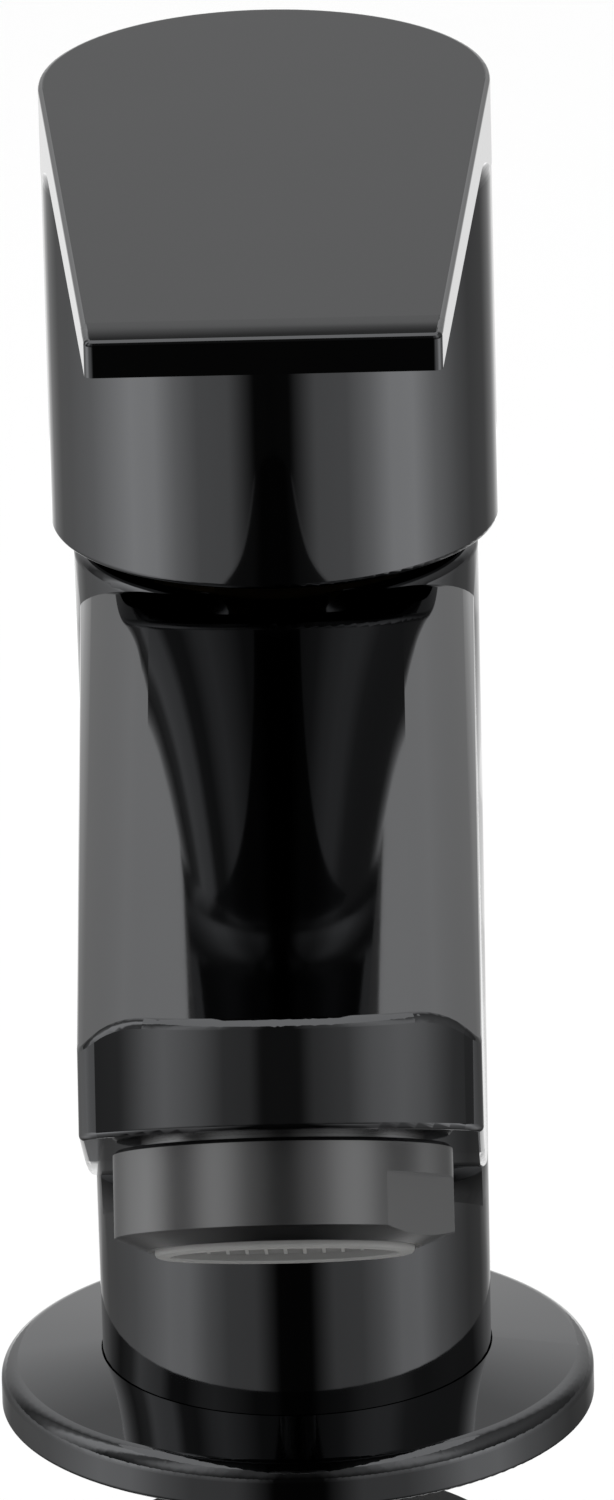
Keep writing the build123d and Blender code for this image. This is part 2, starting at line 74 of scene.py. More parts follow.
# Studio, in metres: the floor's half width, and the cards that only mirrors see.
FLOOR_HALF = 4.0
CARD_STEPS = 96
CARD_RADIUS = 1.0
CARD_CURVE = 0.05
FLOOR_CARD_HOLE = 0.035
FLOOR_CARD_LIFT = 0.6 * MM
WALL_CARD_TOP = 1.4
BACK_CARD_HALF = 0.11
BACK_CARD_DISTANCE = 0.45
BACK_CARD_LIFT = 2.0 * MM
BACK_CARD_TOP = 0.9

# Lamps: name, place, width and share of the overhead lamp's power.
LAMPS = (
    ("lamp_over", (0.1, -0.2, 1.5), 1.4, 1.0),
    ("lamp_left", (-1.3, -0.6, 0.8), 0.8, 0.4),
    ("lamp_right", (1.3, -0.6, 0.8), 0.8, 0.4),
)
LAMP_AIM = (0.0, 0.0, 0.1)

# Camera: sensor in millimetres, nearest and furthest sight in metres.
SENSOR_WIDTH = 36.0
NEAREST = 0.05
FURTHEST = 20.0

# A Mix node's colour sockets come after those for values and vectors.
MIX_COLOUR_LOW = 6
MIX_COLOUR_HIGH = 7
MIX_COLOUR_OUT = 2


# Shader trees


class Value:
    """One socket of a node tree. Arithmetic on it adds Math nodes."""

    def __init__(self, recipe, socket):
        self.recipe = recipe
        self.socket = socket

    def math(self, operation, *terms):
        """A Math node of these terms."""
        return self.recipe.node("ShaderNodeMath", {"operation": operation}, dict(enumerate(terms)))

    def sibling(self, output):
        """Another output of the same node."""
        return Value(self.recipe, self.socket.node.outputs[output])

    def __add__(self, other):
        return self.math("ADD", self, other)

    __radd__ = __add__

    def __sub__(self, other):
        return self.math("SUBTRACT", self, other)

    def __rsub__(self, other):
        return self.math("SUBTRACT", other, self)

    def __mul__(self, other):
        return self.math("MULTIPLY", self, other)

    __rmul__ = __mul__

    def __truediv__(self, other):
        return self.math("DIVIDE", self, other)

    def __rtruediv__(self, other):
        return self.math("DIVIDE", other, self)


class Recipe:
    """A material's or the world's node tree, cleared and ready to be written."""

    def __init__(self, owner):
        owner.use_nodes = True
        self.tree = owner.node_tree
        self.tree.nodes.clear()

    def node(self, kind, settings=None, sockets=None, output=0):
        """Adds a node, sets it up, then fills or links its sockets. Returns one of its outputs."""
        made = self.tree.nodes.new(kind)
        for name, setting in (settings or {}).items():
            if name == "stops":
                ramp = made.color_ramp
                while len(ramp.elements) < len(setting):
                    ramp.elements.new(1.0)
                for element, (place, colour) in zip(ramp.elements, setting):
                    element.position = place
                    element.color = (*colour, 1.0)
            else:
                setattr(made, name, setting)
        for name, value in (sockets or {}).items():
            if isinstance(value, Value):
                self.tree.links.new(value.socket, made.inputs[name])
            elif made.inputs[name].type == "RGBA":
                made.inputs[name].default_value = (*value, 1.0)
            else:
                made.inputs[name].default_value = value
        return Value(self, made.outputs[output]) if made.outputs else None

    def place(self):
        """The piece's own coordinates, in metres, which stay with it when it moves."""
        return self.node("ShaderNodeTexCoord", output="Object")

    def split(self, place):
        """The three coordinates of a place."""
        x = self.node("ShaderNodeSeparateXYZ", None, {"Vector": place})
        return x, x.sibling("Y"), x.sibling("Z")

    def polar(self, place):
        """Radius from the tap's axis, and height, of a place."""
        x, y, z = self.split(place)
        return x.math("SQRT", x * x + y * y), z

    def stretched(self, place, scale):
        """Coordinates scaled by a different amount along each axis."""
        return self.node("ShaderNodeVectorMath", {"operation": "MULTIPLY"}, {0: place, 1: scale})

    def noise(self, place, scale=1.0, detail=2.0, rough=0.5):
        """A soft cloud from 0 to 1, with scale in clouds to the unit of the place."""
        sockets = {"Vector": place, "Scale": scale, "Detail": detail, "Roughness": rough}
        return self.node("ShaderNodeTexNoise", None, sockets)

    def between(self, share, low, high):
        """A colour that runs from low to high with a share."""
        sockets = {"Factor": share, MIX_COLOUR_LOW: low, MIX_COLOUR_HIGH: high}
        return self.node("ShaderNodeMix", {"data_type": "RGBA"}, sockets, output=MIX_COLOUR_OUT)

    def fit(self, value, low, high, at_low, at_high):
        """A value that runs between two levels while another runs from low to high."""
        sockets = {"Value": value, "From Min": low, "From Max": high, "To Min": at_low, "To Max": at_high}
        return self.node("ShaderNodeMapRange", None, sockets)

    def greys(self, share, stops):
        """A grey that changes with a share, through stops of (share, grey)."""
        colours = [(place, (grey, grey, grey)) for place, grey in stops]
        return self.node("ShaderNodeValToRGB", {"stops": colours}, {"Fac": share})

    def scaled(self, colour, share):
        """A colour times a value."""
        return self.node("ShaderNodeVectorMath", {"operation": "SCALE"}, {0: colour, "Scale": share})

    def bump(self, height, strength, distance):
        """A normal bent by a height."""
        sockets = {"Height": height, "Strength": strength, "Distance": distance}
        return self.node("ShaderNodeBump", None, sockets)

    def surface(self, **sockets):
        """The principled shader, with the material's output."""
        named = {name.replace("_", " ").title(): value for name, value in sockets.items()}
        shader = self.node("ShaderNodeBsdfPrincipled", None, named)
        self.node("ShaderNodeOutputMaterial", None, {"Surface": shader})


def fresh_material(name):
    """A new material and its empty recipe."""
    material = bpy.data.materials.new(name)
    return material, Recipe(material)


def shade(colour, share):
    """A colour made darker or lighter by a share."""
    return [share * part for part in colour]


# Finishes


def chrome_material(name, tone, roughness):
    """Dark mirror plating: a faint wiping haze and a slow drift of tone over a smooth casting."""
    tone_drift = 0.06
    haze_roughness = 0.03
    wiping = (260.0, 260.0, 40.0)
    material, recipe = fresh_material(name)
    place = recipe.place()
    drift = recipe.noise(place, scale=28.0, detail=2.0)
    haze = recipe.noise(recipe.stretched(place, wiping), detail=3.0)
    waver = recipe.noise(place, scale=90.0, detail=1.0)
    recipe.surface(
        base_color=recipe.between(drift, shade(tone, 1.0 - tone_drift), shade(tone, 1.0 + tone_drift)),
        metallic=1.0,
        roughness=roughness + haze_roughness * haze,
        normal=recipe.bump(waver, strength=0.02, distance=0.2 * MM),
    )
    return material


def brass_material(finish):
    """Turned brass: fine rings from the lathe, and a slow dull bloom."""
    rings_per_metre = 2600.0
    dull_share = 0.72
    least_roughness = 0.2
    ring_roughness = 0.16
    bloom_roughness = 0.1
    material, recipe = fresh_material("raw_brass")
    place = recipe.place()
    radius, height = recipe.polar(place)
    lathe = {0: radius * rings_per_metre, 1: height * rings_per_metre}
    cut = recipe.node("ShaderNodeCombineXYZ", None, lathe)
    rings = recipe.node("ShaderNodeTexNoise", {"noise_dimensions": "2D"}, {"Vector": cut, "Scale": 1.0})
    bloom = recipe.noise(place, scale=140.0, detail=4.0)
    recipe.surface(
        base_color=recipe.between(bloom, shade(finish.brass, dull_share), finish.brass),
        metallic=1.0,
        roughness=least_roughness + ring_roughness * rings + bloom_roughness * bloom,
        normal=recipe.bump(rings, strength=0.25, distance=0.03 * MM),
    )
    return material


def steel_material(finish):
    """Stamped steel with a fine brushed grain."""
    brushing = (3200.0, 160.0, 3200.0)
    dull_share = 0.8
    least_roughness = 0.28
    grain_roughness = 0.18
    material, recipe = fresh_material("washer_steel")
    place = recipe.place()
    grain = recipe.noise(recipe.stretched(place, brushing), detail=3.0)
    cloud = recipe.noise(place, scale=120.0, detail=3.0)
    recipe.surface(
        base_color=recipe.between(cloud, shade(finish.steel, dull_share), finish.steel),
        metallic=1.0,
        roughness=least_roughness + grain_roughness * grain,
        normal=recipe.bump(grain, strength=0.2, distance=0.02 * MM),
    )
    return material


def rubber_material(finish):
    """Moulded rubber: matt, with a dusty bloom and a fine tooth."""
    dust_share = 1.9
    dust_grey = 0.006
    least_roughness = 0.62
    bloom_roughness = 0.22
    material, recipe = fresh_material("black_rubber")
    place = recipe.place()
    bloom = recipe.noise(place, scale=90.0, detail=5.0)
    tooth = recipe.noise(place, scale=2400.0, detail=2.0)
    dusty = [part + dust_grey for part in shade(finish.rubber, dust_share)]
    recipe.surface(
        base_color=recipe.between(bloom, finish.rubber, dusty),
        roughness=least_roughness + bloom_roughness * bloom,
        normal=recipe.bump(tooth, strength=0.3, distance=0.04 * MM),
    )
    return material


def ceramic_material(finish):
    """Fired ceramic discs, ground flat, with a sparse speckle."""
    speckle_share = 0.86
    least_roughness = 0.22
    speckle_roughness = 0.2
    material, recipe = fresh_material("disc_ceramic")
    speckle = recipe.noise(recipe.place(), scale=1800.0, detail=2.0, rough=0.7)
    recipe.surface(
        base_color=recipe.between(speckle, shade(finish.ceramic, speckle_share), finish.ceramic),
        roughness=least_roughness + speckle_roughness * speckle,
    )
    return material


def plastic_material(finish):
    """Pale moulded plastic with a soft sheen and a hint of flow."""
    streaks = (200.0, 60.0, 60.0)
    streak_share = 0.9
    least_roughness = 0.38
    tooth_roughness = 0.14
    material, recipe = fresh_material("pale_plastic")
    place = recipe.place()
    flow = recipe.noise(recipe.stretched(place, streaks), detail=3.0)
    tooth = recipe.noise(place, scale=1500.0, detail=2.0)
    recipe.surface(
        base_color=recipe.between(flow, shade(finish.plastic, streak_share), finish.plastic),
        roughness=least_roughness + tooth_roughness * tooth,
        normal=recipe.bump(tooth, strength=0.12, distance=0.03 * MM),
    )
    return material


# Meshes


def dress(names, material):
    """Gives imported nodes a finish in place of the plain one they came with."""
    for name in names:
        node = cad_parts[name]
        node.data.materials.clear()
        node.data.materials.append(material)


def mesh_piece(name, points, faces, material, crease=math.radians(35.0)):
    """A mesh object from points in metres, with smooth faces and edges that are sharp past the crease."""
    mesh = bpy.data.meshes.new(name)
    mesh.from_pydata(points, [], faces)
    shell = bmesh.new()
    shell.from_mesh(mesh)
    bmesh.ops.recalc_face_normals(shell, faces=shell.faces)
    shell.to_mesh(mesh)
    shell.free()
    mesh.shade_smooth()
    mesh.set_sharp_from_angle(angle=crease)
    mesh.materials.append(material)
    piece = bpy.data.objects.new(name, mesh)
    bpy.context.scene.collection.objects.link(piece)
    return piece


def turned(section_at, around, closed=True):
    """Points and quads of a section turned about Z. section_at gives the (radius, height) pairs at a step."""
    points = []
    for turn in range(around):
        angle = FULL_TURN * turn / around
        points += [(radius * math.cos(angle), radius * math.sin(angle), z) for radius, z in section_at(turn)]
    count = len(points) // around
    faces = []
    for turn in range(around):
        here = turn * count
        ahead = (turn + 1) % around * count
        for step in range(count if closed else count - 1):
            above = (step + 1) % count
            faces.append((here + step, ahead + step, ahead + above, here + above))
    return points, faces


def clamp(value):
    """A value held between 0 and 1."""
    return min(1.0, max(0.0, value))


# Settings


class TapFinish(bpy.types.PropertyGroup):
    """Colours of the tap's finishes."""

    black_chrome: FloatVectorProperty(
        name="Black chrome",
        description="How much of each colour the dark plating mirrors, seen straight on",
        default=(0.118, 0.12, 0.124),
        subtype="COLOR",
    )
    aerator_chrome: FloatVectorProperty(
        name="Aerator chrome",
        description="How much of each colour the aerator's lighter plating mirrors, seen straight on",
        default=(0.25, 0.252, 0.255),
        subtype="COLOR",
    )
    mirror_roughness: FloatProperty(
        name="Mirror roughness",
        description="Least roughness of the dark plating",
        default=0.035,
        subtype="FACTOR",
    )
    aerator_roughness: FloatProperty(
        name="Aerator roughness",
        description="Least roughness of the aerator's plating",
        default=0.25,
        subtype="FACTOR",
    )
    brass: FloatVectorProperty(
        name="Brass",
        description="Colour of freshly turned brass",
        default=(0.76, 0.55, 0.27),
        subtype="COLOR",
    )
    steel: FloatVectorProperty(
        name="Steel",
        description="Colour of the steel washer, clip, screw and screen",
        default=(0.58, 0.58, 0.57),
        subtype="COLOR",
    )
    rubber: FloatVectorProperty(
        name="Rubber",
        description="Colour of the washers and sealing rings",
        default=(0.016, 0.016, 0.017),
        subtype="COLOR",
    )
    ceramic: FloatVectorProperty(
        name="Ceramic",
        description="Colour of the fired discs",
        default=(0.84, 0.8, 0.76),
        subtype="COLOR",
    )
    plastic: FloatVectorProperty(
        name="Plastic",
        description="Colour of the outlet grid and the handle's insert",
        default=(0.2, 0.2, 0.196),
        subtype="COLOR",
    )


class TapThread(bpy.types.PropertyGroup):
    """Thread of the tail, with its bore and groove."""

    pitch: FloatProperty(
        name="Pitch",
        description="Rise of the thread in one turn",
        default=1.814 * MM,
        unit="LENGTH",
    )
    depth: FloatProperty(
        name="Depth",
        description="Depth of the thread below its crest",
        default=1.0 * MM,
        unit="LENGTH",
    )
    top: FloatProperty(
        name="Top",
        description="Height at which the thread has run out, from the deck line",
        default=-1.0 * MM,
        unit="LENGTH",
    )
    bore: FloatProperty(
        name="Bore",
        description="Radius of the water's way through the tail",
        default=6.75 * MM,
        unit="LENGTH",
    )
    chamfer: FloatProperty(
        name="Chamfer",
        description="Chamfer at the foot of the tail",
        default=1.0 * MM,
        unit="LENGTH",
    )
    end_length: FloatProperty(
        name="End length",
        description="Length of thread between the chamfer and the groove",
        default=13.5 * MM,
        unit="LENGTH",
    )
    groove_width: FloatProperty(
        name="Groove width",
        description="Width of the groove round the tail",
        default=1.5 * MM,
        unit="LENGTH",
    )
    groove_depth: FloatProperty(
        name="Groove depth",
        description="Depth of the groove below the thread's crest",
        default=0.8 * MM,
        unit="LENGTH",
    )
    rows: IntProperty(
        name="Rows",
        description="Rows of points in one pitch of the thread",
        default=10,
    )
    around: IntProperty(
        name="Steps round",
        description="Points in one turn of the thread",
        default=64,
    )


class TapOutlet(bpy.types.PropertyGroup):
    """Ring and grid in the aerator's mouth."""

    ring_width: FloatProperty(
        name="Ring width",
        description="Width of the ring's face round the grid",
        default=1.7 * MM,
        unit="LENGTH",
    )
    wall: FloatProperty(
        name="Wall",
        description="Thickness of the sleeve behind the ring",
        default=1.5 * MM,
        unit="LENGTH",
    )
    lip: FloatProperty(
        name="Lip round",
        description="Radius of the ring's outer edge",
        default=0.45 * MM,
        unit="LENGTH",
    )
    recess: FloatProperty(
        name="Recess",
        description="Depth of the grid behind the ring's face",
        default=0.9 * MM,
        unit="LENGTH",
    )
    pitch: FloatProperty(
        name="Grid pitch",
        description="From one rib of the grid to the next",
        default=1.9 * MM,
        unit="LENGTH",
    )
    rib: FloatProperty(
        name="Rib",
        description="Thickness of a rib of the grid",
        default=0.5 * MM,
        unit="LENGTH",
    )
    depth: FloatProperty(
        name="Rib depth",
        description="Depth of a rib along the water's way",
        default=1.4 * MM,
        unit="LENGTH",
    )
    around: IntProperty(
        name="Steps round",
        description="Points round the ring",
        default=72,
    )


class TapStage(bpy.types.PropertyGroup):
    """Floor, light and camera."""

    floor_drop: FloatProperty(
        name="Floor drop",
        description="Depth of the floor below the deck line, so that the tail shows",
        default=49.5 * MM,
        unit="LENGTH",
    )
    floor_colour: FloatVectorProperty(
        name="Floor",
        description="Colour of the floor",
        default=(0.9, 0.9, 0.9),
        subtype="COLOR",
    )
    floor_glow: FloatProperty(
        name="Floor glow",
        description="Share of plain white in the floor, as the camera and mirrors see it",
        default=0.8,
        subtype="FACTOR",
    )
    ambient: FloatProperty(
        name="Ambient light",
        description="Strength of the surrounding light on matt surfaces",
        default=0.55,
        subtype="FACTOR",
    )
    lamp_power: FloatProperty(
        name="Lamp power",
        description="Power of the overhead lamp",
        default=16.0,
        unit="POWER",
    )
    camera_distance: FloatProperty(
        name="Camera distance",
        description="From the camera to the tap's axis",
        default=1.6,
        unit="LENGTH",
    )
    camera_height: FloatProperty(
        name="Camera elevation",
        description="Angle of the camera above the horizon",
        default=math.radians(20.1),
        unit="ROTATION",
    )
    camera_turn: FloatProperty(
        name="Camera azimuth",
        description="Angle of the camera round the tap, from straight in front towards +X",
        default=math.radians(0.45),
        unit="ROTATION",
    )
    camera_roll: FloatProperty(
        name="Camera roll",
        description="Turn of the camera about its own axis",
        default=math.radians(-1.47),
        unit="ROTATION",
    )
    camera_lens: FloatProperty(
        name="Lens",
        description="Focal length of the camera, in millimetres",
        default=369.0,
        unit="CAMERA",
    )
    aim_height: FloatProperty(
        name="Aim height",
        description="Height on the tap's axis that the camera is turned towards",
        default=75.0 * MM,
        unit="LENGTH",
    )
    aim_shift: FloatVectorProperty(
        name="Aim shift",
        description="How far the camera stands to the right and up from that aim",
        default=(2.72 * MM, -2.2 * MM),
        size=2,
        unit="LENGTH",
    )


# Pieces


class TAP_OT_black_chrome(bpy.types.Operator):
    """Plate the casting, flange, handle, screw plug and aerator ring"""

    bl_idname = "tap.black_chrome"
    bl_label = "Black chrome pieces"

    def execute(self, context):
        finish = context.scene.tap_finish
        dark = chrome_material("black_chrome", finish.black_chrome, finish.mirror_roughness)
        dress(("body_casting", "base_flange", "lever_handle", "screw_plug"), dark)
        satin = chrome_material("aerator_chrome", finish.aerator_chrome, finish.aerator_roughness)
        dress(("aerator_housing",), satin)
        return {"FINISHED"}


class TAP_OT_brass(bpy.types.Operator):
    """Finish the brass pieces: nut, headwork and spindle"""

    bl_idname = "tap.brass"
    bl_label = "Brass pieces"

    def execute(self, context):
        material = brass_material(context.scene.tap_finish)
        dress(("back_nut", "headwork_bush", "spindle"), material)
        return {"FINISHED"}


class TAP_OT_tail(bpy.types.Operator):
    """Cut the thread of the tail, with its groove, chamfer and bore, in the brass of the other pieces"""

    bl_idname = "tap.tail"
    bl_label = "Threaded tail"

    def execute(self, context):
        thread = context.scene.tap_thread
        low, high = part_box("tail_shank")
        crest = high.x
        groove_low = low.z + thread.chamfer + thread.end_length
        groove_high = groove_low + thread.groove_width
        length = thread.top - low.z
        count = int(length / thread.pitch * thread.rows)
        heights = [low.z + length * row / count for row in range(count + 1)]

        def radius(height, turn):
            phase = (height / thread.pitch - turn / thread.around) % 1.0
            ridge = clamp((RIDGE_FOOT - abs(phase - 0.5)) / (RIDGE_FOOT - RIDGE_CREST))
            fade = clamp((thread.top - height) / thread.pitch)
            cut = crest - thread.depth * fade * (1.0 - ridge)
            cut = min(cut, crest - thread.chamfer + max(0.0, height - low.z))
            if groove_low < height < groove_high:
                cut = min(cut, crest - thread.groove_depth)
            return cut

        def section(turn):
            outside = [(radius(height, turn), height) for height in heights]
            return outside + [(crest, high.z), (thread.bore, high.z), (thread.bore, low.z)]

        points, faces = turned(section, thread.around)
        brass = bpy.data.materials["raw_brass"]
        tail = mesh_piece("tail_thread", points, faces, brass, crease=math.radians(50.0))
        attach(tail, "tap")
        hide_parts("tail_shank")
        return {"FINISHED"}


class TAP_OT_steel(bpy.types.Operator):
    """Finish the clamp washer, grub screw, spindle clip and aerator screen"""

    bl_idname = "tap.steel"
    bl_label = "Steel pieces"

    def execute(self, context):
        material = steel_material(context.scene.tap_finish)
        dress(("clamp_washer", "grub_screw", "spindle_clip", "aerator_screen"), material)
        return {"FINISHED"}


class TAP_OT_rubber(bpy.types.Operator):
    """Finish the gasket, washers and sealing rings"""

    bl_idname = "tap.rubber"
    bl_label = "Rubber pieces"

    def execute(self, context):
        material = rubber_material(context.scene.tap_finish)
        dress(("base_gasket", "deck_washer", "aerator_washer"), material)
        dress(("headwork_seal", "seat_seal", "spindle_seals"), material)
        return {"FINISHED"}


class TAP_OT_discs(bpy.types.Operator):
    """Finish the two ceramic discs"""

    bl_idname = "tap.discs"
    bl_label = "Ceramic discs"

    def execute(self, context):
        dress(("fixed_disc", "moving_disc"), ceramic_material(context.scene.tap_finish))
        return {"FINISHED"}


class TAP_OT_outlet(bpy.types.Operator):
    """Mould the outlet's ring and grid, and finish the handle's insert and the friction ring"""

    bl_idname = "tap.outlet"
    bl_label = "Plastic pieces"

    def execute(self, context):
        material = plastic_material(context.scene.tap_finish)
        dress(("spline_bush", "friction_ring"), material)
        outlet = context.scene.tap_outlet
        low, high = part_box("aerator_cage")
        outer = (high.x - low.x) / 2.0
        length = (high.z - low.z - 2.0 * outer * math.sin(NOSE_TILT)) / math.cos(NOSE_TILT)
        points, faces = self.ring(outlet, outer, length)
        for upright in (False, True):
            for rib_points, rib_faces in self.ribs(outlet, outer - outlet.ring_width, length, upright):
                faces += [tuple(corner + len(points) for corner in face) for face in rib_faces]
                points += rib_points
        to_mouth = Matrix.Translation((low + high) / 2.0) @ Matrix.Rotation(math.pi - NOSE_TILT, 4, "X")
        points = [to_mouth @ Vector(point) for point in points]
        grille = mesh_piece("outlet_grille", points, faces, material)
        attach(grille, "tap")
        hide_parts("aerator_cage")
        return {"FINISHED"}

    def ring(self, outlet, outer, length):
        """Sleeve with a rounded face, turned about Z, its mouth towards +Z."""
        top = length / 2.0
        lip = outlet.lip
        inner = outer - outlet.ring_width
        inner_chamfer = lip / 2.0
        behind = top - outlet.recess - outlet.depth
        section = [(outer, -top), (outer, top - lip)]
        for step in range(1, LIP_STEPS + 1):
            angle = 0.5 * math.pi * step / LIP_STEPS
            section.append((outer - lip * (1.0 - math.cos(angle)), top - lip * (1.0 - math.sin(angle))))
        section += [
            (inner + inner_chamfer, top),
            (inner, top - inner_chamfer),
            (inner, behind),
            (outer - outlet.wall, behind),
            (outer - outlet.wall, -top),
        ]
        return turned(lambda turn: section, outlet.around)

    def ribs(self, outlet, inner, length, upright):
        """Bars across the ring, one way or the other, each with a narrower face than foot."""
        foot = length / 2.0 - outlet.recess - outlet.depth
        face = length / 2.0 - outlet.recess + (UPRIGHT_RISE if upright else 0.0)
        half = outlet.rib / 2.0
        count = int(inner / outlet.pitch)
        for number in range(-count, count + 1):
            place = number * outlet.pitch
            chord = math.sqrt((inner + RIB_OVERLAP) ** 2 - place * place)
            if chord < outlet.pitch:
                continue
            corners = []
            for z, wide in ((foot, half), (face, RIB_FACE_SHARE * half)):
                for along, across in ((-chord, -wide), (chord, -wide), (chord, wide), (-chord, wide)):
                    corners.append((place + across, along, z) if upright else (along, place + across, z))
            sides = [(0, 1, 5, 4), (1, 2, 6, 5), (2, 3, 7, 6), (3, 0, 4, 7)]
            yield corners, [(0, 3, 2, 1), (4, 5, 6, 7), *sides]


# Studio


def lamp(name, place, size, power):
    """A soft square lamp that no mirror shows, turned to the tap."""
    data = bpy.data.lights.new(name, "AREA")
    data.shape = "SQUARE"
    data.size = size
    data.energy = power
    made = bpy.data.objects.new(name, data)
    made.location = place
    made.rotation_mode = "QUATERNION"
    made.rotation_quaternion = (Vector(LAMP_AIM) - Vector(place)).to_track_quat("-Z", "Y")
    made.visible_glossy = False
    bpy.context.scene.collection.objects.link(made)


def glow_card(name, points, faces, level):
    """A studio card that only mirrors see. level gives its brightness from the recipe and the place on it."""
    material, recipe = fresh_material(name)
    glow = recipe.node("ShaderNodeEmission", None, {"Color": level(recipe, recipe.place()), "Strength": 1.0})
    recipe.node("ShaderNodeOutputMaterial", None, {"Surface": glow})
    card = mesh_piece(name, points, faces, material)
    card.visible_camera = False
    card.visible_diffuse = False
    card.visible_shadow = False


def by_azimuth(recipe, place, left, right):
    """A grey that changes with the angle from the front, to either side. Stops are (degrees, grey)."""
    x, y, _ = recipe.split(place)
    turn = 0.5 + x.math("ARCTAN2", x, -1.0 * y) / FULL_TURN
    stops = [(-angle, grey) for angle, grey in reversed(left)] + right
    return recipe.greys(turn, [(0.5 + angle / 360.0, grey) for angle, grey in stops])


def seen(recipe):
    """1 for what the camera, mirrors and glass see, and 0 for light on matt surfaces."""
    camera = recipe.node("ShaderNodeLightPath", output="Is Camera Ray")
    rays = camera + camera.sibling("Is Glossy Ray") + camera.sibling("Is Transmission Ray")
    return camera.math("MINIMUM", rays, 1.0)


class TAP_OT_stage(bpy.types.Operator):
    """Set the floor, the studio cards, the lamps, the world and the camera"""

    bl_idname = "tap.stage"
    bl_label = "Studio"

    def execute(self, context):
        stage = context.scene.tap_stage
        context.scene.view_settings.view_transform = "Standard"
        self.floor(stage)
        self.floor_card(stage)
        self.wall_card(stage)
        self.back_card(stage)
        for name, place, size, share in LAMPS:
            lamp(name, place, size, share * stage.lamp_power)
        self.world(context.scene, stage)
        self.camera(context.scene, stage)
        return {"FINISHED"}

    def floor(self, stage):
        """A pale paper floor that takes the tap's shadow."""
        paper_share = 0.97
        material, recipe = fresh_material("studio_floor")
        paper = recipe.noise(recipe.place(), scale=60.0, detail=4.0)
        tone = recipe.between(paper, shade(stage.floor_colour, paper_share), stage.floor_colour)
        matt = recipe.node("ShaderNodeBsdfDiffuse", None, {"Color": tone})
        glow = recipe.node("ShaderNodeEmission", None, {"Color": (1.0, 1.0, 1.0), "Strength": 1.0})
        share = stage.floor_glow * seen(recipe)
        mixed = recipe.node("ShaderNodeMixShader", None, {0: share, 1: matt, 2: glow})
        recipe.node("ShaderNodeOutputMaterial", None, {"Surface": mixed})
        corners = ((-1, -1), (1, -1), (1, 1), (-1, 1))
        points = [(x * FLOOR_HALF, y * FLOOR_HALF, -stage.floor_drop) for x, y in corners]
        mesh_piece("studio_floor", points, [(0, 1, 2, 3)], material)

    def floor_card(self, stage):
        """A round card over the floor: dark in front and under the tap, bright to both sides and behind."""
        height = -stage.floor_drop + FLOOR_CARD_LIFT
        section = [
            (FLOOR_CARD_HOLE, height),
            (CARD_RADIUS - CARD_CURVE, height),
            (CARD_RADIUS, height + CARD_CURVE),
        ]
        middle = [(0.0, 0.012)]
        front = [(9.0, 0.015), (14.0, 0.15), (22.0, 0.42), (38.0, 0.46), (50.0, 0.78)]
        left = [(62.0, 1.33), (76.0, 1.43), (88.0, 1.12), (104.0, 0.72), (125.0, 0.42), (138.0, 0.3)]
        right = [(62.0, 1.3), (76.0, 1.36), (90.0, 0.82), (108.0, 0.42), (120.0, 0.25), (138.0, 0.2)]
        behind = [(152.0, 0.42), (163.0, 0.9), (170.0, 1.5), (180.0, 1.5)]

        def level(recipe, place):
            radius, _ = recipe.polar(place)
            under = recipe.fit(radius, low=0.06, high=0.14, at_low=0.1, at_high=0.6)
            outwards = recipe.fit(radius, low=0.17, high=0.45, at_low=1.0, at_high=1.66)
            grey = by_azimuth(recipe, place, middle + front + left + behind, front + right + behind)
            return recipe.scaled(grey, under * outwards)

        points, faces = turned(lambda turn: section, CARD_STEPS, closed=False)
        glow_card("studio_floor_card", points, faces, level)

    def wall_card(self, stage):
        """A round wall: dark in front, bright to both sides and high up at the back."""
        section = [(CARD_RADIUS, -stage.floor_drop + CARD_CURVE), (CARD_RADIUS, WALL_CARD_TOP)]
        middle = [(8.0, 0.035)]
        left = [(13.0, 0.15), (24.0, 0.18), (36.0, 0.5), (48.0, 0.76), (56.0, 0.64), (67.0, 0.22)]
        left += [(78.0, 0.24), (86.0, 1.1), (104.0, 1.2), (112.0, 0.4)]
        right = [(14.0, 0.16), (28.0, 0.26), (38.0, 0.56), (50.0, 0.76), (60.0, 0.74), (72.0, 0.36)]
        right += [(82.0, 0.3)]
        behind = [(125.0, 0.17), (146.0, 0.7), (180.0, 0.85)]

        def level(recipe, place):
            _, depth, height = recipe.split(place)
            low_down = recipe.fit(height, low=0.1, high=0.4, at_low=0.5, at_high=0.0)
            in_front = recipe.fit(depth, low=-0.2, high=0.2, at_low=1.0, at_high=0.0)
            upwards = recipe.fit(height, low=0.0, high=0.6, at_low=0.55, at_high=1.1)
            grey = by_azimuth(recipe, place, middle + left + behind, middle + right + behind)
            return recipe.scaled(grey, (1.0 - low_down * in_front) * upwards)

        points, faces = turned(lambda turn: section, CARD_STEPS, closed=False)
        glow_card("studio_wall_card", points, faces, level)

    def back_card(self, stage):
        """A narrow card behind the tap that darkens upwards, mirrored in the lever and the flange."""
        foot = -stage.floor_drop + BACK_CARD_LIFT
        corners = ((-1, foot), (1, foot), (1, BACK_CARD_TOP), (-1, BACK_CARD_TOP))
        points = [(side * BACK_CARD_HALF, BACK_CARD_DISTANCE, height) for side, height in corners]
        stops = [(0.0, 0.95), (0.06, 0.7), (0.17, 0.82), (0.29, 0.44), (0.375, 0.43), (0.43, 0.12)]
        stops += [(BACK_CARD_TOP, 0.1)]

        def level(recipe, place):
            _, _, height = recipe.split(place)
            shares = [(rise / BACK_CARD_TOP, grey) for rise, grey in stops]
            return recipe.greys(height / BACK_CARD_TOP, shares)

        glow_card("studio_back_card", points, [(0, 1, 2, 3)], level)

    def world(self, scene, stage):
        """White all round to the camera and mirrors, and a dimmer light on matt surfaces."""
        scene.world = bpy.data.worlds.new("studio_white")
        recipe = Recipe(scene.world)
        strength = stage.ambient + (1.0 - stage.ambient) * seen(recipe)
        sky = recipe.node("ShaderNodeBackground", None, {"Color": (1.0, 1.0, 1.0), "Strength": strength})
        recipe.node("ShaderNodeOutputWorld", None, {"Surface": sky})

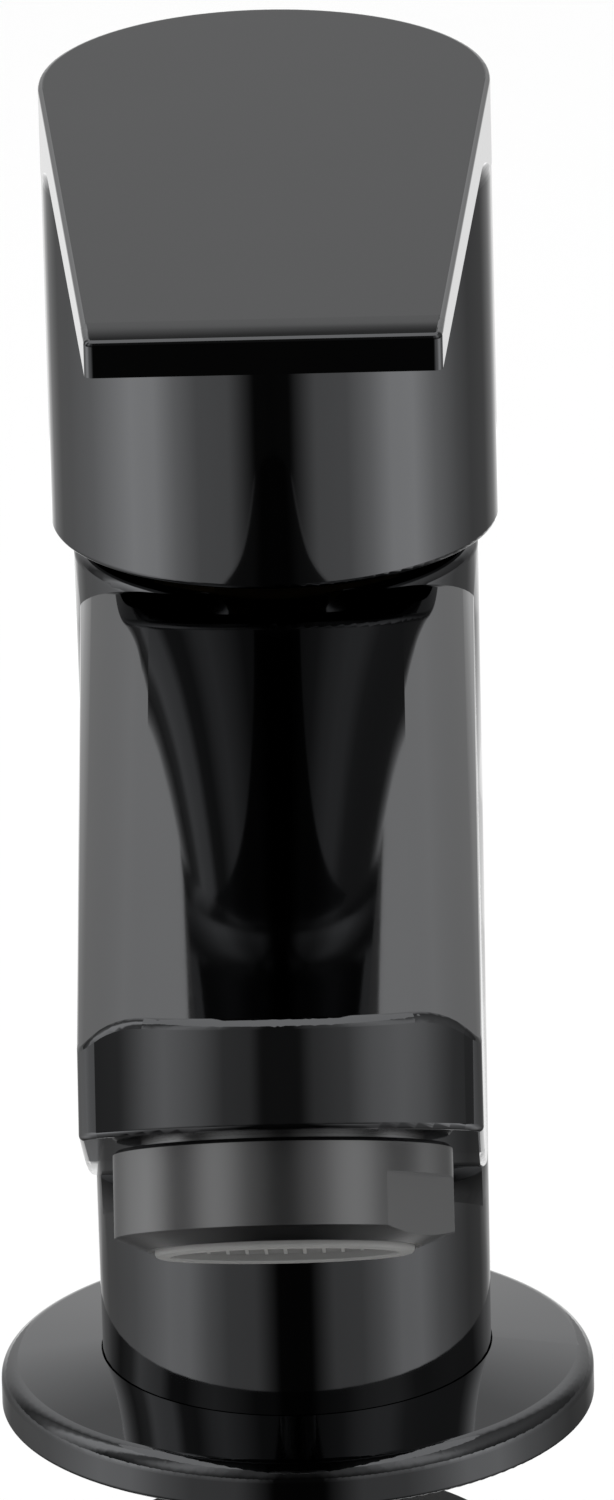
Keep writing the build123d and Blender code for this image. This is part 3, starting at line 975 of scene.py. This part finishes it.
    def camera(self, scene, stage):
        """A camera in front of the tap, looking down on it."""
        data = bpy.data.cameras.new("photo_camera")
        data.sensor_width = SENSOR_WIDTH
        data.lens = stage.camera_lens
        data.clip_start = NEAREST
        data.clip_end = FURTHEST
        made = bpy.data.objects.new("photo_camera", data)
        scene.collection.objects.link(made)
        level = math.cos(stage.camera_height)
        across = level * math.sin(stage.camera_turn)
        towards = -level * math.cos(stage.camera_turn)
        back = Vector((across, towards, math.sin(stage.camera_height)))
        turn = (-back).to_track_quat("-Z", "Y").to_matrix() @ Matrix.Rotation(stage.camera_roll, 3, "Z")
        aim = Vector((0.0, 0.0, stage.aim_height)) + turn @ Vector((*stage.aim_shift, 0.0))
        made.matrix_world = Matrix.Translation(aim + back * stage.camera_distance) @ turn.to_4x4()
        scene.camera = made


# Panel and registration


class TAP_PT_panel(bpy.types.Panel):
    """The tap's pieces, finishes and studio"""

    bl_idname = "TAP_PT_panel"
    bl_label = "Basin tap"
    bl_space_type = "VIEW_3D"
    bl_region_type = "UI"
    bl_category = "Tap"

    def draw(self, context):
        for operator in OPERATORS:
            self.layout.operator(operator.bl_idname)
        for name in GROUPS:
            group = getattr(context.scene, name)
            column = self.layout.column()
            for prop in group.bl_rna.properties:
                if prop.identifier in group.__annotations__:
                    column.prop(group, prop.identifier)


OPERATORS = (
    TAP_OT_black_chrome,
    TAP_OT_brass,
    TAP_OT_tail,
    TAP_OT_steel,
    TAP_OT_rubber,
    TAP_OT_discs,
    TAP_OT_outlet,
    TAP_OT_stage,
)
GROUPS = {"tap_finish": TapFinish, "tap_thread": TapThread, "tap_outlet": TapOutlet, "tap_stage": TapStage}
CLASSES = (*GROUPS.values(), *OPERATORS, TAP_PT_panel)


def register():
    """Registers the classes and gives the scene its settings."""
    for made in CLASSES:
        bpy.utils.register_class(made)
    for name, group in GROUPS.items():
        setattr(bpy.types.Scene, name, PointerProperty(type=group))


def unregister():
    """Takes the settings and the classes away again."""
    for name in GROUPS:
        delattr(bpy.types.Scene, name)
    for made in reversed(CLASSES):
        bpy.utils.unregister_class(made)


def main():
    """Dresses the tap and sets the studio."""
    register()
    bpy.ops.tap.black_chrome()
    bpy.ops.tap.brass()
    bpy.ops.tap.tail()
    bpy.ops.tap.steel()
    bpy.ops.tap.rubber()
    bpy.ops.tap.discs()
    bpy.ops.tap.outlet()
    bpy.ops.tap.stage()


if __name__ == "__main__":
    main()
